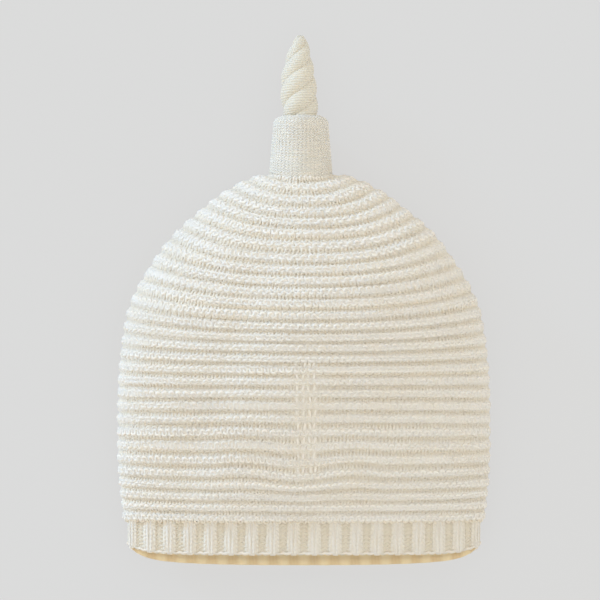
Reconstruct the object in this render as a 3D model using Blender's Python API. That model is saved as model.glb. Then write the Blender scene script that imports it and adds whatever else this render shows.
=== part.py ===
"""A knitted cap that lies on its back: a welted crown, a ribbed band, a collar and a twisted horn.

Metres, +Z up. The cap points along +Y, the opening for the head faces -Y and the back lies on the
floor at Z = 0. The origin is on the floor under the middle of the whole cap.
"""

import math
from collections import namedtuple

import bmesh
import bpy
from mathutils import Vector

# Crown
CROWN_LENGTH = 0.1654
CROWN_HALF_WIDTH = 0.0908
CROWN_DEPTH = 0.050
EDGE_HEIGHT = 0.0105  # of the widest line over the floor
FLOOR_PRESS = 0.0015  # how far the round back is pressed flat
CROWN_WALL = 0.0030
WELTS = 29
WELT_RELIEF = 0.0010
FOLD_HEIGHT = 0.0020
ROW_CURVE = 2.6  # how the welts rise from the middle to the sides
FRONT_FULLNESS = 2.2
BACK_FULLNESS = 2.7
CROWN_SEGMENTS = 24  # on the front, and as many on the back
LINING_STEP = 2  # welts between two rings of the smooth inner side

# Rib band
BAND_HEIGHT = 0.0171
BAND_WALL = 0.0026
BAND_STEP = 0.0012  # the band lies this much inside the crown's edge
BACK_DROP = 0.0065  # the back of the hem reaches further out than the front
HEM_SAG = 0.0020  # the front of the hem sinks this much
CORNER_RISE = 0.0045
RIBS = 18  # on the front, and as many on the back
RIB_RELIEF = 0.0008
RIB_SHARE = 0.60  # of a rib's pitch that stands proud
RIB_SLOPE = 0.10

# Horn collar
COLLAR_LENGTH = 0.0312
COLLAR_RADIUS = 0.0154
COLLAR_TOP_RADIUS = 0.0134
COLLAR_SHOULDER = 0.0042  # height of the rounded upper edge
COLLAR_WALL = 0.0026
COLLAR_LIFT = 0.0004  # over the floor
COLLAR_SIDE = -0.0015  # of the collar's and the horn's axis from the crown's middle
NECK_LENGTH = 0.0045  # of the crown's neck inside the collar

# Horn
HORN_LENGTH = 0.0390
HORN_RADIUS = 0.0092
HORN_ROOT_RADIUS = 0.0080
HORN_LEAD = 0.0285  # length of one full turn of the twist
HORN_STRANDS = 3
HORN_GROOVE = 0.26  # depth of a groove, as a share of the radius
HORN_BOW = -0.0012
HORN_SEGMENTS = 36
HORN_RINGS = 26

GAP = 0.0003  # between two pieces that touch

# A crown section for each row. The shares are: course of the crown's welts, front and side of its
# length, width of its half width, depth of its depth, and round is how far it is the collar's circle.
Section = namedtuple("Section", "course front side width depth round")
CROWN_SECTIONS = (
    Section(0.00, 0.000, 0.000, 0.970, 0.52, 0.00),
    Section(0.14, 0.133, 0.137, 0.995, 0.66, 0.00),
    Section(0.28, 0.299, 0.291, 1.000, 0.82, 0.00),
    Section(0.42, 0.443, 0.448, 0.990, 0.94, 0.00),
    Section(0.56, 0.569, 0.609, 0.948, 1.00, 0.00),
    Section(0.63, 0.636, 0.692, 0.885, 1.01, 0.00),
    Section(0.70, 0.703, 0.770, 0.796, 1.00, 0.00),
    Section(0.77, 0.770, 0.848, 0.686, 0.96, 0.00),
    Section(0.84, 0.843, 0.912, 0.570, 0.90, 0.05),
    Section(0.91, 0.907, 0.968, 0.475, 0.83, 0.20),
    Section(0.97, 0.970, 1.008, 0.360, 0.74, 0.52),
    Section(1.00, 1.000, 1.015, 0.250, 0.66, 1.00),
)

# Soft folds of the front. Each runs from one place to another, across as a share of the half width
# and along as a share of the crown's length. Its width is a share of the half width, its height of
# FOLD_HEIGHT, and a hollow is less than nothing.
Fold = namedtuple("Fold", "across along to_across to_along width height")
FOLDS = (
    Fold(-0.24, 0.72, -0.64, 0.14, 0.15, -1.0),
    Fold(-0.22, 0.50, -0.06, 0.38, 0.20, 0.7),
    Fold(-0.80, 0.20, -0.36, 0.10, 0.17, 0.6),
    Fold(0.62, 0.16, 0.86, 0.04, 0.15, 0.5),
    Fold(0.30, 0.80, 0.74, 0.50, 0.20, -0.5),
)

# The horn's outline: along is a share of its length, radius of its radius.
Turn = namedtuple("Turn", "along radius")
HORN_OUTLINE = (
    Turn(0.00, 0.93),
    Turn(0.14, 0.99),
    Turn(0.33, 1.00),
    Turn(0.54, 0.89),
    Turn(0.70, 0.72),
    Turn(0.82, 0.57),
    Turn(0.92, 0.40),
    Turn(1.00, 0.18),
)

COLLAR_AXIS = COLLAR_RADIUS + COLLAR_LIFT
COLLAR_STRAIGHT = COLLAR_LENGTH - COLLAR_SHOULDER


def read_table(rows, place):
    """The row at a place between two rows, on a smooth curve through all of them."""
    first = [row[0] for row in rows]
    i = max(k for k in range(len(rows) - 1) if first[k] <= place or k == 0)
    low, high = rows[i], rows[i + 1]
    span = high[0] - low[0]
    share = (place - low[0]) / span

    def slope(k, column):
        before, after = rows[max(k - 1, 0)], rows[min(k + 1, len(rows) - 1)]
        return (after[column] - before[column]) / (after[0] - before[0])

    values = []
    for column in range(len(low)):
        a, b = low[column], high[column]
        start, end = slope(i, column) * span, slope(i + 1, column) * span
        values.append(
            (2 * share**3 - 3 * share**2 + 1) * a
            + (share**3 - 2 * share**2 + share) * start
            + (3 * share**2 - 2 * share**3) * b
            + (share**3 - share**2) * end
        )
    return type(low)(*values)


def signed_power(value, power):
    return math.copysign(abs(value) ** power, value)


def fold_height(across, along):
    """How far the folds lift the front at a place on it."""
    place = Vector((across, along * CROWN_LENGTH / CROWN_HALF_WIDTH))
    height = 0
    for fold in FOLDS:
        start = Vector((fold.across, fold.along * CROWN_LENGTH / CROWN_HALF_WIDTH))
        end = Vector((fold.to_across, fold.to_along * CROWN_LENGTH / CROWN_HALF_WIDTH))
        run = end - start
        share = min(max((place - start).dot(run) / run.length_squared, 0), 1)
        distance = (place - start - run * share).length / fold.width
        height += fold.height * FOLD_HEIGHT * math.exp(-distance * distance)
    return height


def ring_point(course, angle, inset):
    """A point of the crown's plain form: angle 0 is the right side, a quarter turn the front."""
    row = read_table(CROWN_SECTIONS, course)
    across, up = math.cos(angle), math.sin(angle)
    if up >= 0:
        fullness, reach = FRONT_FULLNESS, row.depth * CROWN_DEPTH - EDGE_HEIGHT - inset
    else:
        fullness, reach = BACK_FULLNESS, EDGE_HEIGHT + FLOOR_PRESS - inset
    sideways = signed_power(across, 2 / fullness)
    pillow = Vector(
        (
            sideways * (row.width * CROWN_HALF_WIDTH - inset),
            0,
            EDGE_HEIGHT + signed_power(up, 2 / fullness) * reach,
        )
    )
    radius = COLLAR_RADIUS - inset
    circle = Vector((COLLAR_SIDE + across * radius, 0, COLLAR_AXIS + up * radius))
    point = pillow.lerp(circle, row.round)
    rise = (row.side - row.front) * abs(sideways) ** ROW_CURVE
    point.y = CROWN_LENGTH * (row.front + rise)
    lift = fold_height(sideways * row.width, row.front + rise)
    point.z += lift * max(up, 0) * (1 - row.round)
    return point


def crown_point(course, angle, inset, lowest):
    """A point of the crown, inset square to its form, with the back pressed flat on its lowest level."""
    step = 0.01
    base = ring_point(course, angle, 0)
    shift = ring_point(course, angle, inset) - base
    along = ring_point(min(course + step, 1), angle, 0) - ring_point(max(course - step, 0), angle, 0)
    along.normalize()
    square = shift - along * shift.dot(along)
    if square.length > 0:
        square *= shift.length / square.length
    point = base + square
    point.z = max(point.z, lowest)
    return point


def spread_angles(point_at, start, places):
    """The angles over the half turn from start that lie at the given shares of its length."""
    steps = 180
    angles = [start + math.pi * k / steps for k in range(steps + 1)]
    points = [point_at(angle) for angle in angles]
    run = [0.0]
    for before, after in zip(points, points[1:]):
        run.append(run[-1] + (after - before).length)
    found = []
    for place in places:
        target = place * run[-1]
        k = max(i for i in range(steps) if run[i] <= target or i == 0)
        share = (target - run[k]) / (run[k + 1] - run[k])
        found.append(angles[k] + share * (angles[k + 1] - angles[k]))
    return found


def add_ring(bm, points):
    return [bm.verts.new(point) for point in points]


def join_rings(bm, low, high):
    """Faces between two rings that run the same way round."""
    for k in range(len(low)):
        after = (k + 1) % len(low)
        bm.faces.new((low[k], low[after], high[after], high[k]))


def close_ring(bm, ring):
    """A fan of faces from a ring to its middle."""
    middle = bm.verts.new(sum((v.co for v in ring), Vector()) / len(ring))
    for k in range(len(ring)):
        bm.faces.new((ring[k], ring[(k + 1) % len(ring)], middle))


def finish_mesh(bm, name, material, location):
    """A smooth object from a closed skin, its faces pointing out."""
    bmesh.ops.recalc_face_normals(bm, faces=bm.faces)
    mesh = bpy.data.meshes.new(name)
    bm.to_mesh(mesh)
    bm.free()
    mesh.shade_smooth()
    mesh.materials.append(material)
    piece = bpy.data.objects.new(name, mesh)
    piece.location = location
    bpy.context.scene.collection.objects.link(piece)
    return piece


def yarn_material(name, colour, roughness):
    material = bpy.data.materials.new(name)
    material.use_nodes = True
    shader = material.node_tree.nodes["Principled BSDF"]
    shader.inputs["Base Color"].default_value = (*colour, 1)
    shader.inputs["Roughness"].default_value = roughness
    shader.inputs["Metallic"].default_value = 0
    return material


def collar_radius(length):
    """The collar's outer radius at a length over its foot, below the rounded shoulder."""
    return COLLAR_RADIUS - (COLLAR_RADIUS - COLLAR_TOP_RADIUS) * length / COLLAR_STRAIGHT


def neck_radius(length):
    """The crown's neck fills the collar's bore but for the gap."""
    return collar_radius(length) - COLLAR_WALL - GAP


def welt_height(course):
    """How proud the knitting stands: crests a quarter welt in and then one in each welt."""
    return WELT_RELIEF * math.cos(2 * math.pi * (WELTS * course - 0.25))


def crown_angles(course):
    """Evenly spaced angles once round the crown, front first."""
    places = [k / CROWN_SEGMENTS for k in range(CROWN_SEGMENTS)]

    def at(angle):
        return ring_point(course, angle, 0)

    return spread_angles(at, 0, places) + spread_angles(at, math.pi, places)


def make_crown(location):
    bm = bmesh.new()
    crests = [(k / 2 + 0.25) / WELTS for k in range(2 * WELTS)]
    outside = []
    for course in [0, *crests, 1]:
        relief = welt_height(course) if 0 < course < 1 else 0
        angles = crown_angles(course)
        outside.append(add_ring(bm, [crown_point(course, a, -relief, 0) for a in angles]))

    # The neck stands on the crown's end and goes up into the collar.
    end_angles = crown_angles(1)

    def neck_ring(radius, length):
        points = []
        for angle in end_angles:
            foot = ring_point(1, angle, 0).y
            x, z = radius * math.cos(angle), radius * math.sin(angle)
            y = CROWN_LENGTH + length if length else foot
            points.append((COLLAR_SIDE + x, y, COLLAR_AXIS + z))
        return add_ring(bm, points)

    outside.append(neck_ring(neck_radius(0), 0))
    outside.append(neck_ring(neck_radius(NECK_LENGTH), NECK_LENGTH))

    inside = []
    lining = [k * LINING_STEP / WELTS for k in range(WELTS // LINING_STEP)]
    for course in lining:
        angles = crown_angles(course)
        points = [crown_point(course, a, CROWN_WALL, CROWN_WALL) for a in angles]
        inside.append(add_ring(bm, points))
    ceiling = NECK_LENGTH - CROWN_WALL
    inside.append(neck_ring(neck_radius(NECK_LENGTH) - CROWN_WALL, ceiling))

    for low, high in zip(outside, outside[1:]):
        join_rings(bm, low, high)
    for low, high in zip(inside, inside[1:]):
        join_rings(bm, high, low)
    join_rings(bm, inside[0], outside[0])
    close_ring(bm, outside[-1])
    close_ring(bm, list(reversed(inside[-1])))
    return finish_mesh(bm, "crown", yarn_material("welted_knit", (0.86, 0.80, 0.68), 0.9), location)


def rib_columns():
    """Each column's place on half the band, and whether it is on a rib or between two."""
    proud = RIB_SHARE / 2 - RIB_SLOPE / 2
    hollow = RIB_SHARE / 2 + RIB_SLOPE / 2
    columns = []
    for rib in range(RIBS):
        middle = rib + 0.5
        columns.append(((middle - hollow) / RIBS, -1))
        columns.append(((middle - proud) / RIBS, 1))
        columns.append(((middle + proud) / RIBS, 1))
        columns.append(((middle + hollow) / RIBS, -1))
    return columns


def band_point(height, angle, inset):
    """A point of the band, whose height is 0 at the hem and 1 at the crown."""
    point = ring_point(0, angle, inset + BAND_STEP)
    low = 1 - height
    side = abs(math.cos(angle))
    front, behind = max(math.sin(angle), 0), max(-math.sin(angle), 0)
    point.y = -GAP - low * (BAND_HEIGHT + BACK_DROP * behind - CORNER_RISE * side**10)
    point.z -= low * HEM_SAG * front
    point.z = max(point.z, inset, 0)
    return point


def make_band(location):
    bm = bmesh.new()
    columns = rib_columns()

    def at(angle):
        return ring_point(0, angle, 0)

    places = [place for place, _ in columns]
    angles = spread_angles(at, 0, places) + spread_angles(at, math.pi, places)
    proud = [side for _, side in columns] * 2

    def band_ring(height, depth):
        points = []
        for angle, side in zip(angles, proud):
            points.append(band_point(height, angle, depth - side * RIB_RELIEF))
        return add_ring(bm, points)

    heights = (0, 0.5, 1)
    outside = [band_ring(height, 0) for height in heights]
    inside = [band_ring(height, BAND_WALL) for height in heights]
    for low, high in zip(outside, outside[1:]):
        join_rings(bm, low, high)
    for low, high in zip(inside, inside[1:]):
        join_rings(bm, high, low)
    join_rings(bm, inside[0], outside[0])
    join_rings(bm, outside[-1], inside[-1])
    return finish_mesh(bm, "rib_band", yarn_material("ribbed_knit", (0.84, 0.77, 0.64), 0.9), location)


def make_collar(location):
    """A sleeve on the crown's end. Its upper edge is drawn in round the horn."""
    bm = bmesh.new()
    aperture = HORN_ROOT_RADIUS + GAP
    steps = 4
    profile = [(0, collar_radius(0)), (COLLAR_STRAIGHT / 2, collar_radius(COLLAR_STRAIGHT / 2))]
    for k in range(steps + 1):
        turn = math.pi / 2 * k / steps
        radius = aperture + (COLLAR_TOP_RADIUS - aperture) * math.cos(turn)
        profile.append((COLLAR_STRAIGHT + COLLAR_SHOULDER * math.sin(turn), radius))
    profile.append((COLLAR_LENGTH - COLLAR_WALL, aperture))
    profile.append((COLLAR_STRAIGHT, COLLAR_TOP_RADIUS - COLLAR_WALL))
    profile.append((0, COLLAR_RADIUS - COLLAR_WALL))
    rings = []
    for length, radius in profile:
        points = []
        for angle in crown_angles(1):
            foot = ring_point(1, angle, 0).y - CROWN_LENGTH + GAP
            y = foot + (length / COLLAR_LENGTH) * (COLLAR_LENGTH - foot)
            points.append((radius * math.cos(angle), y, COLLAR_AXIS + radius * math.sin(angle)))
        rings.append(add_ring(bm, points))
    for low, high in zip(rings, rings[1:] + rings[:1]):
        join_rings(bm, low, high)
    return finish_mesh(bm, "horn_collar", yarn_material("fine_knit", (0.85, 0.79, 0.67), 0.9), location)


def horn_ring(along):
    """The points of the twisted horn at a share of its length, three lobes with sharp grooves."""
    radius = HORN_RADIUS * read_table(HORN_OUTLINE, along).radius
    turned = 2 * math.pi * along * HORN_LENGTH / HORN_LEAD
    bow = HORN_BOW * math.sin(math.pi * along)
    # The twist starts at the collar, where the root is round.
    depth = HORN_GROOVE * min(1, along * 12)
    points = []
    for k in range(HORN_SEGMENTS):
        angle = 2 * math.pi * k / HORN_SEGMENTS
        lobe = abs(math.sin(HORN_STRANDS / 2 * (angle + turned)))
        reach = radius * (1 - depth * (1 - lobe))
        points.append(
            (
                bow + reach * math.cos(angle),
                along * HORN_LENGTH,
                COLLAR_AXIS + reach * math.sin(angle),
            )
        )
    return points


def make_horn(location):
    bm = bmesh.new()
    root_length = COLLAR_LENGTH - NECK_LENGTH - GAP
    rings = []
    for length in (-root_length, GAP):
        points = []
        for k in range(HORN_SEGMENTS):
            angle = 2 * math.pi * k / HORN_SEGMENTS
            x, z = HORN_ROOT_RADIUS * math.cos(angle), HORN_ROOT_RADIUS * math.sin(angle)
            points.append((x, length, COLLAR_AXIS + z))
        rings.append(add_ring(bm, points))
    for k in range(1, HORN_RINGS + 1):
        rings.append(add_ring(bm, horn_ring(k / HORN_RINGS)))
    for low, high in zip(rings, rings[1:]):
        join_rings(bm, low, high)
    close_ring(bm, list(reversed(rings[0])))
    close_ring(bm, rings[-1])
    return finish_mesh(bm, "horn", yarn_material("twisted_cord", (0.87, 0.81, 0.70), 0.85), location)


def clear_scene():
    for item in list(bpy.data.objects):
        bpy.data.objects.remove(item, do_unlink=True)


def make_cap():
    """The whole cap, with the origin under the middle of its length."""
    clear_scene()
    hem = GAP + BAND_HEIGHT + BACK_DROP
    tip = CROWN_LENGTH + COLLAR_LENGTH + HORN_LENGTH
    crown_foot = (hem - tip) / 2
    frame = bpy.data.objects.new("cap", None)
    bpy.context.scene.collection.objects.link(frame)
    frame.location = (0, crown_foot, 0)
    pieces = (
        make_crown((0, 0, 0)),
        make_band((0, 0, 0)),
        make_collar((COLLAR_SIDE, CROWN_LENGTH, 0)),
        make_horn((COLLAR_SIDE, CROWN_LENGTH + COLLAR_LENGTH, 0)),
    )
    for piece in pieces:
        piece.parent = frame


make_cap()
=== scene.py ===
import math
from collections import namedtuple

import bmesh
import bpy
import numpy as np
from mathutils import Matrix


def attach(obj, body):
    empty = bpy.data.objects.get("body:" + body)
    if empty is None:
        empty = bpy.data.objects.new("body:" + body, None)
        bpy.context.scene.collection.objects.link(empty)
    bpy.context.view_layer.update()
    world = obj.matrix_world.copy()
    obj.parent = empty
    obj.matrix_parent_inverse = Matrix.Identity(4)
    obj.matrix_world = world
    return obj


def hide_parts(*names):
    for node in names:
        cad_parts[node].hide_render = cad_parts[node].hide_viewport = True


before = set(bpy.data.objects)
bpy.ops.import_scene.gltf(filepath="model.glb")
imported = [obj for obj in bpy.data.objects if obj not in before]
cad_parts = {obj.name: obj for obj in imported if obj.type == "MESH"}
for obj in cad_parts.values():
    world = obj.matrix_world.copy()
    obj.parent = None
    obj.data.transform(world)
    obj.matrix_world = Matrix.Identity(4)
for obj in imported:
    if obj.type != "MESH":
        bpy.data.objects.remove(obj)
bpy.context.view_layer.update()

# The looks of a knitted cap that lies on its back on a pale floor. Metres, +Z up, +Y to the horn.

# Crown form, as in the solids
CROWN_LENGTH = 0.1654
CROWN_HALF_WIDTH = 0.0908
CROWN_DEPTH = 0.050
EDGE_HEIGHT = 0.0105
FLOOR_PRESS = 0.0015
WELTS = 29
FOLD_HEIGHT = 0.0020
ROW_CURVE = 2.6
FRONT_FULLNESS = 2.2
BACK_FULLNESS = 2.7

# Rib band form
BAND_HEIGHT = 0.0171
BAND_STEP = 0.0012
BACK_DROP = 0.0065
HEM_SAG = 0.0020
CORNER_RISE = 0.0045

# Collar and horn forms
COLLAR_LENGTH = 0.0312
COLLAR_RADIUS = 0.0154
COLLAR_TOP_RADIUS = 0.0134
COLLAR_SHOULDER = 0.0042
COLLAR_LIFT = 0.0004
COLLAR_SIDE = -0.0015
HORN_LENGTH = 0.0390
HORN_RADIUS = 0.0092
HORN_ROOT_RADIUS = 0.0080
HORN_LEAD = 0.0285
HORN_STRANDS = 3
STRAND_SHARE = 0.66  # radius of a strand, of the horn's
HORN_BOW = -0.0012
GAP = 0.0003

Section = namedtuple("Section", "course front side width depth round")
CROWN_SECTIONS = (
    Section(0.00, 0.000, 0.000, 0.970, 0.52, 0.00),
    Section(0.14, 0.133, 0.137, 0.995, 0.66, 0.00),
    Section(0.28, 0.299, 0.291, 1.000, 0.82, 0.00),
    Section(0.42, 0.443, 0.448, 0.990, 0.94, 0.00),
    Section(0.56, 0.569, 0.609, 0.948, 1.00, 0.00),
    Section(0.63, 0.636, 0.692, 0.885, 1.01, 0.00),
    Section(0.70, 0.703, 0.770, 0.796, 1.00, 0.00),
    Section(0.77, 0.770, 0.848, 0.686, 0.96, 0.00),
    Section(0.84, 0.843, 0.912, 0.570, 0.90, 0.05),
    Section(0.91, 0.907, 0.968, 0.475, 0.83, 0.20),
    Section(0.97, 0.970, 1.008, 0.360, 0.74, 0.52),
    Section(1.00, 1.000, 1.015, 0.250, 0.66, 1.00),
)
Fold = namedtuple("Fold", "across along to_across to_along width height")
FOLDS = (
    Fold(-0.24, 0.72, -0.64, 0.14, 0.15, -1.0),
    Fold(-0.22, 0.50, -0.06, 0.38, 0.20, 0.7),
    Fold(-0.80, 0.20, -0.36, 0.10, 0.17, 0.6),
    Fold(0.62, 0.16, 0.86, 0.04, 0.15, 0.5),
    Fold(0.30, 0.80, 0.74, 0.50, 0.20, -0.5),
)
Turn = namedtuple("Turn", "along radius")
HORN_OUTLINE = (
    Turn(0.00, 0.93),
    Turn(0.14, 0.99),
    Turn(0.33, 1.00),
    Turn(0.54, 0.89),
    Turn(0.70, 0.72),
    Turn(0.82, 0.57),
    Turn(0.92, 0.40),
    Turn(1.00, 0.18),
)

COLLAR_AXIS = COLLAR_RADIUS + COLLAR_LIFT
COLLAR_STRAIGHT = COLLAR_LENGTH - COLLAR_SHOULDER
CAP_HEM = GAP + BAND_HEIGHT + BACK_DROP
CAP_TIP = CROWN_LENGTH + COLLAR_LENGTH + HORN_LENGTH
CROWN_FOOT = (CAP_HEM - CAP_TIP) / 2

# Yarn and stitches
YARN_RADIUS = 0.00090
LOOP_DEPTH = 0.00022
BUMP_DEPTH = 0.00030  # of a purl bump
LOOP_LEAN = 0.17  # sideways swing of a loop, in stitches
CREST_LOOP = 1.35  # height of a loop, in rows
VALLEY_LOOP = 0.95
WELT_WAVE = 0.00065
YARN_LEVEL = -0.00075  # of the middle of the knitting under the crown's outline
GROUND_RISE = 0.00030  # of the knitting's ground over the middle of the yarn
GROUND_BOTTOM = 0.0018  # lowest height of the crown's ground over the floor
GROUND_PLIES = 110.0
CROWN_WALL = 0.0006
PLY_TURNS = 3.0  # twist of the yarn, in turns to a stitch
CREST = 0.25  # place of a welt's crest, of its height
ROW_HEIGHT = 0.25  # of a welt's height
WELT_ROWS = ((-0.15, True), (0.15, True), (0.40, False), (0.60, False))  # phase, purled
RINGS_IN_WELT = 8
FRONT_STITCHES = 60  # on the front half of the wide part of the crown
TOP_STITCH = 0.0040  # width of a stitch near the top
WELTS_IN_PIECE = 6
BAND_STITCHES = 108
BAND_ROWS = 8
RIB_WAVE = 0.00045
HEM_YARN = 0.05  # of the band's height, from the hem to the middle of the lowest yarn
HEM_LEVEL = -0.0006
BAND_YARN_LEVEL = -0.0010
BAND_GROUND_LEVEL = -0.00045
BAND_GROUND_WAVE = 0.0004
BAND_INSIDE_LEVEL = -0.0025
BAND_WALL = 0.0004
COLLAR_YARN = 0.00052
COLLAR_STITCHES = 44
COLLAR_ROWS = 25
COLLAR_YARN_LEVEL = -0.00055
COLLAR_GROUND_LEVEL = -0.00032
COLLAR_WALL = 0.0010

HORN_YARNS = 16  # in each strand, round its core
HORN_YARN_PLACE = 0.79  # from a strand's middle, of its radius
HORN_YARN_RADIUS = 0.21  # of a strand's radius
HORN_CORE_RADIUS = 0.90

GATHER_SIDE = 0.0010  # of the drawn stitches from the middle
GATHER_WIDTH = 0.0065
LONG_STITCH_WELTS = range(4, 13)
LONG_STITCHES = 4  # side by side
LONG_STITCH_SPACE = 0.0027

SEED = 20


def read_table(rows, place):
    """The row at a place between two rows, on a smooth curve through all of them."""
    first = [row[0] for row in rows]
    i = max(k for k in range(len(rows) - 1) if first[k] <= place or k == 0)
    low, high = rows[i], rows[i + 1]
    span = high[0] - low[0]
    share = (place - low[0]) / span

    def slope(k, column):
        before, after = rows[max(k - 1, 0)], rows[min(k + 1, len(rows) - 1)]
        return (after[column] - before[column]) / (after[0] - before[0])

    values = []
    for column in range(len(low)):
        a, b = low[column], high[column]
        start, end = slope(i, column) * span, slope(i + 1, column) * span
        values.append(
            (2 * share**3 - 3 * share**2 + 1) * a
            + (share**3 - 2 * share**2 + share) * start
            + (3 * share**2 - 2 * share**3) * b
            + (share**3 - share**2) * end
        )
    return type(low)(*values)


def signed_power(values, power):
    return np.copysign(np.abs(values) ** power, values)


def fold_heights(across, along):
    """How far the folds lift the front at places on it."""
    stretch = CROWN_LENGTH / CROWN_HALF_WIDTH
    places = np.stack([across, along * stretch], axis=-1)
    height = np.zeros(len(places))
    for fold in FOLDS:
        start = np.array((fold.across, fold.along * stretch))
        run = np.array((fold.to_across, fold.to_along * stretch)) - start
        share = np.clip((places - start) @ run / (run @ run), 0, 1)
        distance = np.linalg.norm(places - start - share[:, None] * run, axis=1) / fold.width
        height += fold.height * FOLD_HEIGHT * np.exp(-distance * distance)
    return height


def crown_ring(course, angles, inset=0.0):
    """Points of the crown's plain form: angle 0 is the right side, a quarter turn the front."""
    row = read_table(CROWN_SECTIONS, course)
    across, up = np.cos(angles), np.sin(angles)
    front = up >= 0
    fullness = np.where(front, FRONT_FULLNESS, BACK_FULLNESS)
    reach = np.where(front, row.depth * CROWN_DEPTH - EDGE_HEIGHT, EDGE_HEIGHT + FLOOR_PRESS) - inset
    sideways = signed_power(across, 2 / fullness)
    points = np.empty((len(angles), 3))
    radius = COLLAR_RADIUS - inset
    pillow_width = row.width * CROWN_HALF_WIDTH - inset
    points[:, 0] = sideways * pillow_width * (1 - row.round) + (COLLAR_SIDE + across * radius) * row.round
    pillow_height = EDGE_HEIGHT + signed_power(up, 2 / fullness) * reach
    points[:, 2] = pillow_height * (1 - row.round) + (COLLAR_AXIS + up * radius) * row.round
    rise = (row.side - row.front) * np.abs(sideways) ** ROW_CURVE
    points[:, 1] = CROWN_LENGTH * (row.front + rise)
    lift = fold_heights(sideways * row.width, row.front + rise)
    points[:, 2] += lift * np.maximum(up, 0) * (1 - row.round)
    return points


def even_angles(course, start, count):
    """Angles over the half turn from start, evenly spaced along the crown's ring."""
    angles = start + np.linspace(0, math.pi, 721)
    steps = np.linalg.norm(np.diff(crown_ring(course, angles), axis=0), axis=1)
    run = np.concatenate([[0], np.cumsum(steps)])
    return np.interp(np.arange(count) / count * run[-1], run, angles), run[-1]


def whole_turn(course, half_count=96):
    """Evenly spaced angles once round the crown, and the length of the front half."""
    front, length = even_angles(course, 0, half_count)
    back, _ = even_angles(course, math.pi, half_count)
    return np.concatenate([front, back]), length


class Form:
    """A surface given by rings of points. Turn goes from 0 to 1 once round, course from 0 to 1 up."""

    def __init__(self, rings):
        self.rings = np.array(rings)
        self.rings[:, :, 1] += CROWN_FOOT
        round_way = np.roll(self.rings, -1, axis=1) - np.roll(self.rings, 1, axis=1)
        up_way = np.gradient(self.rings, axis=0)
        square = np.cross(up_way, round_way)
        self.square = square / np.linalg.norm(square, axis=2, keepdims=True)

    def at(self, turn, course):
        """The places and outward directions at arrays of turns and courses."""
        courses, turns = self.rings.shape[:2]
        u = (turn % 1.0) * turns
        v = course * (courses - 1)
        i = np.floor(u).astype(int) % turns
        j = np.clip(np.floor(v).astype(int), 0, courses - 2)
        s, t = (u - np.floor(u))[:, None], (v - j)[:, None]
        after = (i + 1) % turns

        def mix(grid):
            low = grid[j, i] * (1 - s) + grid[j, after] * s
            high = grid[j + 1, i] * (1 - s) + grid[j + 1, after] * s
            return low * (1 - t) + high * t

        square = mix(self.square)
        return mix(self.rings), square / np.linalg.norm(square, axis=1, keepdims=True)


def wander(random, places, waves):
    """A soft random line over a closed round: places go from 0 to 1, and it stays within about 1."""
    line = np.zeros(len(places))
    for k in range(1, waves + 1):
        line += random.normal() * np.sin(2 * math.pi * (k * places + random.random())) / math.sqrt(k)
    return line / 2


# A strand's valley share is painted shade, from 0 where the yarn stands proud to 1 deep in the valleys
Strand = namedtuple("Strand", "points radius valley plies outward")


def floor_yarn(points, radius):
    """Yarn that would sink into the floor lies on it."""
    points[:, 2] = np.maximum(points[:, 2], radius * 1.02)
    return points


def yarn_mesh(name, strands, closed, sides=0):
    """A mesh of round yarn along strands, with attributes for its painted shade in the valleys and on its
    inner side, and for its plies.
    """
    curve = bpy.data.curves.new(name, "CURVE")
    curve.dimensions = "3D"
    curve.bevel_depth = 1.0
    curve.bevel_resolution = sides
    for strand in strands:
        spline = curve.splines.new("POLY")
        spline.points.add(len(strand.points) - 1)
        fourth = np.ones((len(strand.points), 1))
        spline.points.foreach_set("co", np.hstack([strand.points, fourth]).astype(np.float32).ravel())
        spline.points.foreach_set("radius", np.asarray(strand.radius, dtype=np.float32))
        spline.use_cyclic_u = closed
        spline.use_smooth = True
    holder = bpy.data.objects.new(name, curve)
    bpy.context.scene.collection.objects.link(holder)
    graph = bpy.context.evaluated_depsgraph_get()
    mesh = bpy.data.meshes.new_from_object(holder.evaluated_get(graph))
    bpy.data.objects.remove(holder, do_unlink=True)
    ring = 4 + 2 * sides

    def each_corner(title):
        return np.concatenate([np.repeat(getattr(strand, title), ring, axis=0) for strand in strands])

    corners = np.empty(len(mesh.vertices) * 3)
    mesh.vertices.foreach_get("co", corners)
    side = corners.reshape(-1, 3) - each_corner("points")
    side /= np.linalg.norm(side, axis=1, keepdims=True)
    # How far each corner faces into the knitting; that side takes painted shade
    inner_shade_share = np.maximum(-np.sum(side * each_corner("outward"), axis=1), 0)
    looks = {"valley": each_corner("valley"), "inner_shade": inner_shade_share, "plies": each_corner("plies")}
    for title, values in looks.items():
        layer = mesh.attributes.new(title, "FLOAT", "POINT")
        layer.data.foreach_set("value", values.astype(np.float32))
    if not closed:
        bm = bmesh.new()
        bm.from_mesh(mesh)
        bmesh.ops.holes_fill(bm, edges=bm.edges, sides=ring)
        bm.to_mesh(mesh)
        bm.free()
    return mesh


def show_piece(name, mesh, finish, node):
    """A piece at the origin that rides on the cap's one body and stands for a solid."""
    mesh.materials.clear()
    mesh.materials.append(finish)
    piece = bpy.data.objects.new(name, mesh)
    bpy.context.scene.collection.objects.link(piece)
    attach(piece, "root")
    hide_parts(node)
    return piece


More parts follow.
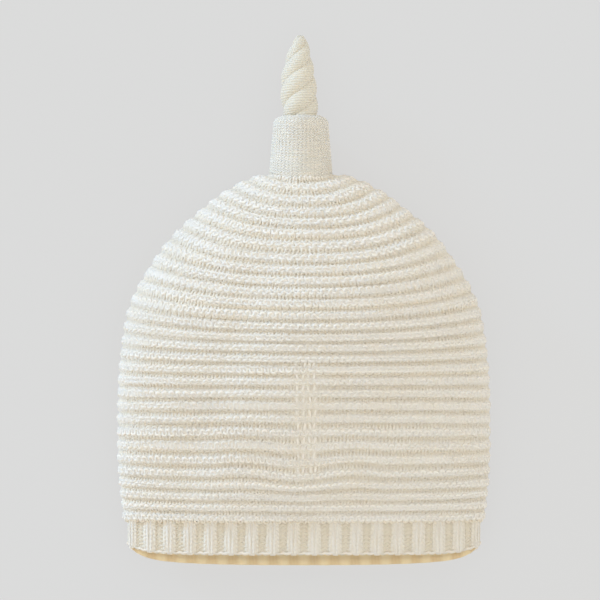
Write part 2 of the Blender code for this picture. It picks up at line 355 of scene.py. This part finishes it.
def ground_mesh(name, form, turns, courses, level, valley, plies, lowest=0.0):
    """The closed ground between the yarns, at a level over a form, up from the lowest course, with
    painted shade in the valleys.
    """
    bm = bmesh.new()
    bm.loops.layers.uv.new("UVMap")
    titles = ("valley", "inner_shade", "plies")
    layers = [bm.verts.layers.float.new(title) for title in titles]
    bmesh.ops.create_grid(bm, x_segments=turns, y_segments=courses, size=0.5, calc_uvs=True)
    flat = np.array([v.co[:] for v in bm.verts]) + 0.5
    turn, course = flat[:, 0], lowest + (1 - lowest) * flat[:, 1]
    place, square = form.at(turn * 0.9999999, course)
    points = place + square * level(turn, course)[:, None]
    for v, point, deep in zip(bm.verts, points, valley(turn, course)):
        v.co = point
        for layer, value in zip(layers, (deep, 0.0, plies)):
            v[layer] = value
    bmesh.ops.remove_doubles(bm, verts=bm.verts, dist=1e-6)
    bmesh.ops.recalc_face_normals(bm, faces=bm.faces)
    mesh = bpy.data.meshes.new(name)
    bm.to_mesh(mesh)
    bm.free()
    mesh.shade_smooth()
    return mesh


def thicken(piece, thickness):
    """Gives a ground its wall, on the inner side."""
    wall = piece.modifiers.new("wall", "SOLIDIFY")
    wall.thickness = thickness
    wall.offset = -1


# Finishes

class Wire:
    """One output of a shader node, so that sums on it add Math nodes."""

    def __init__(self, finish, socket):
        self.finish = finish
        self.socket = socket

    def reckon(self, operation, first, second):
        return self.finish.node("ShaderNodeMath", {"operation": operation}, {0: first, 1: second})

    def __add__(self, other):
        return self.reckon("ADD", self, other)

    __radd__ = __add__

    def __sub__(self, other):
        return self.reckon("SUBTRACT", self, other)

    def __rsub__(self, other):
        return self.reckon("SUBTRACT", other, self)

    def __mul__(self, other):
        return self.reckon("MULTIPLY", self, other)

    __rmul__ = __mul__


class Finish:
    """A material that is built up node by node."""

    def __init__(self, name):
        self.material = bpy.data.materials.new(name)
        self.material.use_nodes = True
        self.tree = self.material.node_tree
        self.tree.nodes.clear()

    def node(self, kind, settings, values, output=0):
        node = self.tree.nodes.new(kind)
        for key, value in settings.items():
            setattr(node, key, value)
        for key, value in values.items():
            if isinstance(value, Wire):
                self.tree.links.new(value.socket, node.inputs[key])
            else:
                node.inputs[key].default_value = value
        return Wire(self, node.outputs[output]) if node.outputs else None

    def mix(self, share, first, second):
        return self.node(
            "ShaderNodeMix", {"data_type": "RGBA"}, {"Factor": share, "A": first, "B": second}, 2
        )

    def noise(self, coordinates, scale, detail=2.0, roughness=0.5):
        return self.node(
            "ShaderNodeTexNoise",
            {},
            {"Vector": coordinates, "Scale": scale, "Detail": detail, "Roughness": roughness},
        )

    def spread(self, value, low, high, to_low, to_high):
        return self.node(
            "ShaderNodeMapRange",
            {"interpolation_type": "SMOOTHSTEP"},
            {"Value": value, "From Min": low, "From Max": high, "To Min": to_low, "To Max": to_high},
        )


def yarn_finish(name, crest, valley, inner_shade, ply_depth):
    """Soft plied wool with fine fibres: paler where it stands proud, with painted shade deeper in the
    valleys, on its inner side and in the grooves between its plies.
    """
    finish = Finish(name)
    place = finish.node("ShaderNodeTexCoord", {}, {}, "Object")
    uv = finish.node("ShaderNodeUVMap", {"uv_map": "UVMap"}, {})
    parts = finish.tree.nodes.new("ShaderNodeSeparateXYZ")
    finish.tree.links.new(uv.socket, parts.inputs[0])
    along, around = Wire(finish, parts.outputs[0]), Wire(finish, parts.outputs[1])
    depth = finish.node("ShaderNodeAttribute", {"attribute_name": "valley"}, {}, "Fac")
    inner_shade_share = finish.node("ShaderNodeAttribute", {"attribute_name": "inner_shade"}, {}, "Fac")
    plies = finish.node("ShaderNodeAttribute", {"attribute_name": "plies"}, {}, "Fac")
    mottle = finish.noise(place, 60, 3.0, 0.55)
    fuzz = finish.noise(place, 1500, 4.0, 0.6)
    turns = along * plies + around
    ply = finish.node("ShaderNodeMath", {"operation": "SINE"}, {0: turns * (2 * math.pi * 2)})
    ply = ply * 0.5 + 0.5
    # Painted shade: the valley colour where the yarn lies deep
    tone = finish.mix(depth, (*crest, 1), (*valley, 1))
    # Painted shade on the yarn's inner side
    tone = finish.mix(finish.spread(inner_shade_share, 0.15, 0.9, 0.0, 1.0), tone, (*inner_shade, 1))
    # A warmer tone, used for random mottling and for painted shade in the ply grooves
    warmer = (valley[0] * 1.02, valley[1] * 0.98, valley[2] * 0.92, 1)
    tone = finish.mix(finish.spread(mottle, 0.42, 0.72, 0.0, 0.22), tone, warmer)
    # Painted shade in the grooves between the plies, and random tone of the fibres
    tone = finish.mix((1 - ply) * 0.18 + (1 - fuzz) * 0.08, tone, warmer)
    height = ply * 0.6 + fuzz * 0.4
    bump = finish.node("ShaderNodeBump", {}, {"Strength": 0.6, "Distance": ply_depth, "Height": height})
    rough = finish.spread(fuzz, 0.3, 0.7, 0.50, 0.75)
    shader = finish.node(
        "ShaderNodeBsdfPrincipled",
        {},
        {
            "Base Color": tone,
            "Roughness": rough,
            "Normal": bump,
            "Sheen Weight": 0.40,
            "Sheen Roughness": 0.5,
            "Sheen Tint": (1.0, 0.94, 0.84, 1),
            "Specular IOR Level": 0.35,
            "Subsurface Weight": 0.25,
            "Subsurface Radius": (1.0, 0.8, 0.6),
            "Subsurface Scale": 0.0010,
        },
    )
    finish.node("ShaderNodeOutputMaterial", {}, {"Surface": shader})
    return finish.material


# Crown knitting

def row_drop(place_x, course):
    """How far a row lies under its even place on the front, in metres."""
    low = np.exp(-(((course - 0.15) / 0.085) ** 2))
    dip = np.cos(math.pi * np.clip((place_x + 0.003) / 0.028, -1.5, 1.5)) * low * 0.0012
    high = np.clip((course - 0.74) / 0.12, 0, 1) * np.clip((1 - course) / 0.08, 0, 1)
    return dip + 0.018 * place_x * high


def welt_wave(course):
    """From 1 on the crests to -1 in the narrower valleys."""
    depth = (1 - np.cos(2 * math.pi * (WELTS * course - CREST))) / 2
    return 1 - 2 * depth**1.7


def gathered(place_x, course):
    """From 0 to 1 on the short middle line where the stitches are drawn long."""
    along = np.clip((course - 0.11) / 0.05, 0, 1) * np.clip((0.47 - course) / 0.08, 0, 1)
    return np.exp(-(((place_x - GATHER_SIDE) / GATHER_WIDTH) ** 2)) * along


def crown_row(form, random, welt, phase, purl, stitches, steps):
    """One round of loops. Phase is the row's place in its welt, from the crest."""
    course = (welt + CREST + phase) / WELTS
    count = stitches * steps
    i = np.arange(count)
    loop = 2 * math.pi * i / steps
    stitch = i // steps
    size = 1 + 0.10 * random.normal(size=stitches)[stitch]
    turn = (i / steps + LOOP_LEAN * np.sin(2 * loop)) / stitches
    turn = turn + 0.06 * random.normal(size=stitches)[stitch] / stitches
    reach = (CREST_LOOP if purl else VALLEY_LOOP) * ROW_HEIGHT / WELTS
    lift = -np.cos(loop) * reach * size + wander(random, turn % 1, 9) * 0.00035 / CROWN_LENGTH
    wave = welt_wave(np.full(count, course) + lift)
    place, _ = form.at(turn, course + lift)
    facing = np.sin(2 * math.pi * np.clip(turn % 1, 0, 0.5))
    shift = -row_drop(place[:, 0], course) * facing / CROWN_LENGTH
    place, square = form.at(turn, course + lift + shift)
    side = 1 if purl else -1
    swing = BUMP_DEPTH if purl else -LOOP_DEPTH
    wave = wave * (1 - 0.5 * gathered(place[:, 0], course))
    level = YARN_LEVEL + WELT_WAVE * wave + swing * np.cos(2 * loop)
    level += 0.00012 * wander(random, turn % 1, 14)
    radius = YARN_RADIUS * (1 + 0.05 * wander(random, turn % 1, 20))
    points = floor_yarn(place + square * level[:, None], radius)
    # Painted shade: darker in the valleys and where the loops sink
    valley = np.clip(0.5 - 0.62 * wave - side * 0.1 * np.cos(2 * loop), 0, 1)
    return Strand(points, radius, valley, np.full(count, stitches * PLY_TURNS), square)


def make_middle_stitches(form, finish):
    """Long stitches that bridge the valleys on the middle line of the front."""
    random = np.random.default_rng(SEED + 5)
    strands = []
    share = np.linspace(0, 1, 8)
    for welt in LONG_STITCH_WELTS:
        for k in range(LONG_STITCHES):
            beside = (k - (LONG_STITCHES - 1) / 2) * LONG_STITCH_SPACE
            middle = GATHER_SIDE + beside + 0.0004 * random.normal()
            lean = (0.0009 if k % 2 else -0.0009) + 0.0003 * random.normal()
            x = middle + lean * (share - 0.5)
            course = (welt + CREST + 0.02 * random.normal() + 0.92 * (share - 0.02)) / WELTS
            _, length = whole_turn(course[0], 24)
            turn = 0.25 - x / (2 * length)
            shift = -row_drop(x, course) / CROWN_LENGTH
            place, square = form.at(turn, course + shift)
            rise = np.sin(math.pi * share)
            level = YARN_LEVEL - 0.0002 + 0.00045 * rise + 0.0001 * random.normal()
            radius = YARN_RADIUS * (0.55 + 0.30 * rise)
            points = place + square * level[:, None]
            # Painted shade: darker at the ends, where the long stitches dip
            valley = 0.40 - 0.3 * rise
            plies = np.full(len(share), PLY_TURNS)
            strands.append(Strand(points, radius, valley, plies, square))
    mesh = yarn_mesh("middle_stitches", strands, closed=False, sides=1)
    show_piece("middle_stitches", mesh, finish, "crown")


def crown_stitches(course, length):
    """Stitches in a whole round at a course, of the given front length."""
    wide = length / FRONT_STITCHES
    share = min(max((course - 0.56) / 0.16, 0), 1)
    width = wide + (max(TOP_STITCH, wide) - wide) * share
    return 2 * round(length / width)


def make_crown_knit(finish):
    """Knits the crown welt by welt, and hands back its form."""
    random = np.random.default_rng(SEED)
    rings = WELTS * RINGS_IN_WELT
    courses = [k / rings for k in range(rings + 1)]
    turns = [whole_turn(course) for course in courses]
    form = Form([crown_ring(course, angles) for course, (angles, _) in zip(courses, turns)])
    for number, first in enumerate(range(0, WELTS, WELTS_IN_PIECE), start=1):
        strands = []
        for welt in range(first, min(first + WELTS_IN_PIECE, WELTS)):
            length = turns[welt * RINGS_IN_WELT + RINGS_IN_WELT // 4][1]
            stitches = crown_stitches((welt + CREST) / WELTS, length)
            for phase, purl in WELT_ROWS:
                if welt + CREST + phase < WELTS:
                    steps = 8 if purl else 6
                    strands.append(crown_row(form, random, welt, phase, purl, stitches, steps))
        name = "crown_welts_" + str(number)
        mesh = yarn_mesh(name, strands, closed=True)
        show_piece(name, mesh, finish, "crown")
    return form


def make_crown_ground(form, finish):
    """The ground follows the welts, and stays off the floor."""

    def wave(turn, course):
        place, _ = form.at(turn, course)
        facing = np.sin(2 * math.pi * np.clip(turn % 1, 0, 0.5))
        height = welt_wave(course + row_drop(place[:, 0], course) * facing / CROWN_LENGTH)
        return height * (1 - 0.5 * gathered(place[:, 0], course))

    def level(turn, course):
        return YARN_LEVEL + GROUND_RISE + WELT_WAVE * wave(turn, course)

    # Painted shade, deeper in the valleys
    def valley(turn, course):
        return np.clip(0.65 - 0.5 * wave(turn, course), 0, 1)

    mesh = ground_mesh("crown_ground", form, 96, WELTS * 6, level, valley, GROUND_PLIES)
    points = np.empty(len(mesh.vertices) * 3)
    mesh.vertices.foreach_get("co", points)
    points[2::3] = np.maximum(points[2::3], GROUND_BOTTOM)
    mesh.vertices.foreach_set("co", points)
    thicken(show_piece("crown_ground", mesh, finish, "crown"), CROWN_WALL)


# Rib band

def band_rings(steps):
    angles, _ = whole_turn(0)
    rings = []
    for k in range(steps + 1):
        low = 1 - k / steps
        points = crown_ring(0, angles, BAND_STEP)
        side = np.abs(np.cos(angles))
        front, behind = np.maximum(np.sin(angles), 0), np.maximum(-np.sin(angles), 0)
        points[:, 1] = -GAP - low * (BAND_HEIGHT + BACK_DROP * behind - CORNER_RISE * side**10)
        points[:, 2] -= low * HEM_SAG * front
        rings.append(points)
    return rings


def rib_wave(stitch):
    """1 on the knit columns of a rib and -1 on the purl column between two ribs."""
    return np.tanh(2.5 * (0.05 - np.cos(2 * math.pi * stitch / 3)))


def cast_on_edge(form, random):
    """The yarn that runs along the hem, with one small wave on each stitch."""
    turn = np.arange(BAND_STITCHES * 4) / (BAND_STITCHES * 4)
    bump = np.cos(2 * math.pi * BAND_STITCHES * turn)
    place, square = form.at(turn, HEM_YARN * (1.5 + 0.35 * bump))
    level = HEM_LEVEL + 0.00025 * rib_wave(turn * BAND_STITCHES - 0.5) + 0.00012 * bump
    radius = YARN_RADIUS * 0.85 * (1 + 0.06 * wander(random, turn, 20))
    points = floor_yarn(place + square * level[:, None], radius)
    plies = np.full(len(turn), BAND_STITCHES * PLY_TURNS)
    # Painted shade, a little deeper where the edge's waves dip
    return Strand(points, radius, 0.05 + 0.1 * (1 - bump), plies, square)


def make_band(finish, inside):
    """Two knit columns and one purl column in each rib."""
    random = np.random.default_rng(SEED + 1)
    form = Form(band_rings(16))
    strands = []
    steps = 8
    i = np.arange(BAND_STITCHES * steps)
    loop = 2 * math.pi * i / steps
    stitch = i // steps
    for row in range(BAND_ROWS):
        course = HEM_YARN + (1 - HEM_YARN) * (row + 0.62) / BAND_ROWS
        x = i / steps - 0.5 + 0.14 * np.sin(2 * loop)
        proud = rib_wave(i / steps - 0.5)
        size = 1 + 0.06 * random.normal(size=BAND_STITCHES)[stitch]
        lift = -np.cos(loop) * 0.9 * size / BAND_ROWS
        turn = x / BAND_STITCHES
        place, square = form.at(turn, np.clip(course + lift, HEM_YARN, 1.02))
        level = BAND_YARN_LEVEL + RIB_WAVE * proud - proud * 0.00026 * np.cos(2 * loop)
        radius = YARN_RADIUS * 0.98 * (1 + 0.05 * wander(random, turn % 1, 20))
        points = floor_yarn(place + square * level[:, None], radius)
        # Painted shade in the purl column between the ribs
        valley = np.clip(0.55 - 0.50 * proud, 0, 1)
        plies = np.full(len(i), BAND_STITCHES * PLY_TURNS)
        strands.append(Strand(points, radius, valley, plies, square))
    strands.append(cast_on_edge(form, random))
    mesh = yarn_mesh("rib_band_knit", strands, closed=True)
    show_piece("rib_band_knit", mesh, finish, "rib_band")

    def ground_level(turn, _):
        return BAND_GROUND_LEVEL + BAND_GROUND_WAVE * rib_wave(turn * BAND_STITCHES)

    def inside_level(turn, _):
        return BAND_INSIDE_LEVEL + RIB_WAVE * rib_wave(turn * BAND_STITCHES)

    # Painted shade in the recesses between the ribs
    def recess_shade(turn, _):
        return 0.5 - 0.4 * rib_wave(turn * BAND_STITCHES)

    # The band's inside wears the darker wool that stands for it in shade: painted shade
    grounds = (
        ("rib_band_ground", finish, ground_level, HEM_YARN),
        ("rib_band_inside", inside, inside_level, 0.0),
    )
    for name, look, level, lowest in grounds:
        mesh = ground_mesh(name, form, BAND_STITCHES * 4, 8, level, recess_shade, BAND_STITCHES, lowest)
        thicken(show_piece(name, mesh, look, "rib_band"), BAND_WALL)


# Collar

def collar_rings(steps):
    aperture = HORN_ROOT_RADIUS + GAP
    shoulder_arc = math.pi / 2 * (COLLAR_TOP_RADIUS - aperture + COLLAR_SHOULDER) / 2
    total = COLLAR_STRAIGHT + shoulder_arc
    angles, _ = whole_turn(1)
    foot = crown_ring(1, angles)[:, 1] - CROWN_LENGTH + GAP
    rings = []
    for k in range(steps + 1):
        run = k / steps * total
        if run <= COLLAR_STRAIGHT:
            length = run
            radius = COLLAR_RADIUS - (COLLAR_RADIUS - COLLAR_TOP_RADIUS) * run / COLLAR_STRAIGHT
        else:
            bend = math.pi / 2 * (run - COLLAR_STRAIGHT) / shoulder_arc
            length = COLLAR_STRAIGHT + COLLAR_SHOULDER * math.sin(bend)
            radius = aperture + (COLLAR_TOP_RADIUS - aperture) * math.cos(bend)
        y = CROWN_LENGTH + foot + (length / COLLAR_LENGTH) * (COLLAR_LENGTH - foot)
        rings.append(
            np.stack(
                [COLLAR_SIDE + radius * np.cos(angles), y, COLLAR_AXIS + radius * np.sin(angles)], axis=1
            )
        )
    return rings


def make_collar(finish):
    """Fine plain knitting in even rounds."""
    random = np.random.default_rng(SEED + 2)
    form = Form(collar_rings(48))
    steps = 6
    i = np.arange(COLLAR_STITCHES * steps)
    loop = 2 * math.pi * i / steps
    stitch = i // steps
    strands = []
    for row in range(COLLAR_ROWS):
        course = (row + 0.55) / (COLLAR_ROWS + 0.2)
        size = 1 + 0.10 * random.normal(size=COLLAR_STITCHES)[stitch]
        lift = -np.cos(loop) * 0.8 * size / COLLAR_ROWS
        turn = (i / steps + 0.15 * np.sin(2 * loop)) / COLLAR_STITCHES
        place, square = form.at(turn, np.clip(course + lift, 0, 1))
        level = COLLAR_YARN_LEVEL + 0.00022 * np.cos(2 * loop)
        level += 0.0001 * wander(random, turn % 1, 9)
        radius = COLLAR_YARN * (1 + 0.06 * wander(random, turn % 1, 12))
        points = floor_yarn(place + square * level[:, None], radius)
        # Painted shade where the loops sink
        valley = np.clip(0.35 - 0.3 * np.cos(2 * loop), 0, 1)
        plies = np.full(len(i), COLLAR_STITCHES * 2.0)
        strands.append(Strand(points, radius, valley, plies, square))
    mesh = yarn_mesh("collar_knit", strands, closed=True)
    show_piece("collar_knit", mesh, finish, "horn_collar")

    def level(_, course):
        return np.full(len(course), COLLAR_GROUND_LEVEL)

    # The ground seen between the stitches is in painted shade
    def valley(_, course):
        return np.full(len(course), 0.6)

    mesh = ground_mesh("collar_ground", form, 48, 24, level, valley, COLLAR_STITCHES)
    thicken(show_piece("collar_ground", mesh, finish, "horn_collar"), COLLAR_WALL)


# Horn

def horn_strand(which, offset, radius_share, lay):
    """One yarn of a strand. Offset is its distance from the strand's middle, lay its turn on it."""
    along = np.linspace(-0.10, 1.0, 72)
    outline = np.array([read_table(HORN_OUTLINE, max(a, 0)).radius for a in along]) * HORN_RADIUS
    turned = 2 * math.pi * along * HORN_LENGTH / HORN_LEAD
    angle = math.pi / 3 + 2 * math.pi * which / HORN_STRANDS - turned
    bow = HORN_BOW * np.sin(math.pi * np.clip(along, 0, 1))
    thick = STRAND_SHARE * outline
    reach = outline - thick
    middle = np.stack(
        [
            COLLAR_SIDE + bow + reach * np.cos(angle),
            CROWN_FOOT + CROWN_LENGTH + COLLAR_LENGTH + along * HORN_LENGTH,
            COLLAR_AXIS + reach * np.sin(angle),
        ],
        axis=1,
    )
    run = np.gradient(middle, axis=0)
    run /= np.linalg.norm(run, axis=1, keepdims=True)
    outward = np.stack([np.cos(angle), np.zeros(len(angle)), np.sin(angle)], axis=1)
    sideways = np.cross(run, outward)
    sideways /= np.linalg.norm(sideways, axis=1, keepdims=True)
    outward = np.cross(sideways, run)
    spin = lay + turned * 1.4
    away = outward * np.cos(spin)[:, None] + sideways * np.sin(spin)[:, None]
    points = middle + (offset * thick)[:, None] * away
    radius = thick * radius_share
    # Painted shade on each yarn's side toward its strand's middle; the core, seen only in the grooves, is
    # wholly in painted shade
    valley = np.clip(0.55 - 0.55 * np.cos(spin), 0, 1) if offset else np.ones(len(along))
    return Strand(points, radius, valley, np.full(len(along), 14.0), outward)


def make_horn(finish):
    strands = []
    for which in range(HORN_STRANDS):
        strands.append(horn_strand(which, 0.0, HORN_CORE_RADIUS, 0))
        for k in range(HORN_YARNS):
            lay = 2 * math.pi * k / HORN_YARNS
            strands.append(horn_strand(which, HORN_YARN_PLACE, HORN_YARN_RADIUS, lay))
    mesh = yarn_mesh("horn_strands", strands, closed=False, sides=1)
    piece = show_piece("horn_strands", mesh, finish, "horn")


# Floor, light and camera

def make_floor():
    bm = bmesh.new()
    bmesh.ops.create_grid(bm, x_segments=1, y_segments=1, size=3.0)
    mesh = bpy.data.meshes.new("floor")
    bm.to_mesh(mesh)
    bm.free()
    finish = Finish("pale_floor")
    place = finish.node("ShaderNodeTexCoord", {}, {}, "Object")
    grain = finish.noise(place, 900, 2.0, 0.5)
    tone = finish.mix(grain, (0.108, 0.108, 0.106, 1), (0.112, 0.112, 0.110, 1))
    shader = finish.node(
        "ShaderNodeBsdfPrincipled",
        {},
        {
            "Base Color": tone,
            "Roughness": 0.95,
            "Specular IOR Level": 0.0,
            "Emission Color": (1.0, 0.995, 0.985, 1),
            "Emission Strength": 0.594,
        },
    )
    finish.node("ShaderNodeOutputMaterial", {}, {"Surface": shader})
    mesh.materials.append(finish.material)
    floor = bpy.data.objects.new("floor", mesh)
    bpy.context.scene.collection.objects.link(floor)


def make_light():
    scene = bpy.context.scene
    scene.view_settings.view_transform = "Standard"
    world = bpy.data.worlds.new("soft_room")
    world.use_nodes = True
    world.node_tree.nodes["Background"].inputs["Color"].default_value = (0.97, 0.99, 1.0, 1)
    world.node_tree.nodes["Background"].inputs["Strength"].default_value = 1.05
    scene.world = world
    sun = bpy.data.lights.new("soft_window", "SUN")
    sun.energy = 1.8
    sun.angle = math.radians(10)
    sun.color = (0.36, 0.62, 1.0)
    lamp = bpy.data.objects.new("soft_window", sun)
    lamp.rotation_euler = (math.radians(-36), math.radians(-77), 0)
    scene.collection.objects.link(lamp)


def make_camera():
    camera = bpy.data.cameras.new("camera")
    camera.sensor_width = 36
    camera.lens = 151.8
    camera.clip_end = 10
    eye = bpy.data.objects.new("camera", camera)
    eye.location = (-0.0019, 0.00105, 1.25)
    bpy.context.scene.collection.objects.link(eye)
    bpy.context.scene.camera = eye


make_camera()
make_light()
make_floor()

# Colours of the crests, the valleys and the yarn's hidden side, and the depth of its plies; the valley
# and hidden-side colours are painted shade
welted = yarn_finish(
    "welted_wool", (0.89, 0.82, 0.72), (0.83, 0.725, 0.57), (0.84, 0.70, 0.49), ply_depth=0.00022
)
ribbed = yarn_finish(
    "ribbed_wool", (0.86, 0.775, 0.66), (0.76, 0.66, 0.51), (0.79, 0.66, 0.47), ply_depth=0.00018
)
hem_side = yarn_finish(
    "shaded_wool", (0.72, 0.53, 0.29), (0.86, 0.69, 0.43), (0.72, 0.55, 0.31), ply_depth=0.00018
)
fine = yarn_finish(
    "fine_wool", (0.86, 0.79, 0.67), (0.81, 0.73, 0.60), (0.81, 0.71, 0.54), ply_depth=0.00018
)
twisted = yarn_finish(
    "twisted_wool", (0.75, 0.68, 0.55), (0.72, 0.635, 0.49), (0.72, 0.62, 0.46), ply_depth=0.00026
)

crown_form = make_crown_knit(welted)
make_middle_stitches(crown_form, welted)
make_crown_ground(crown_form, welted)
make_band(ribbed, hem_side)
make_collar(fine)
make_horn(twisted)
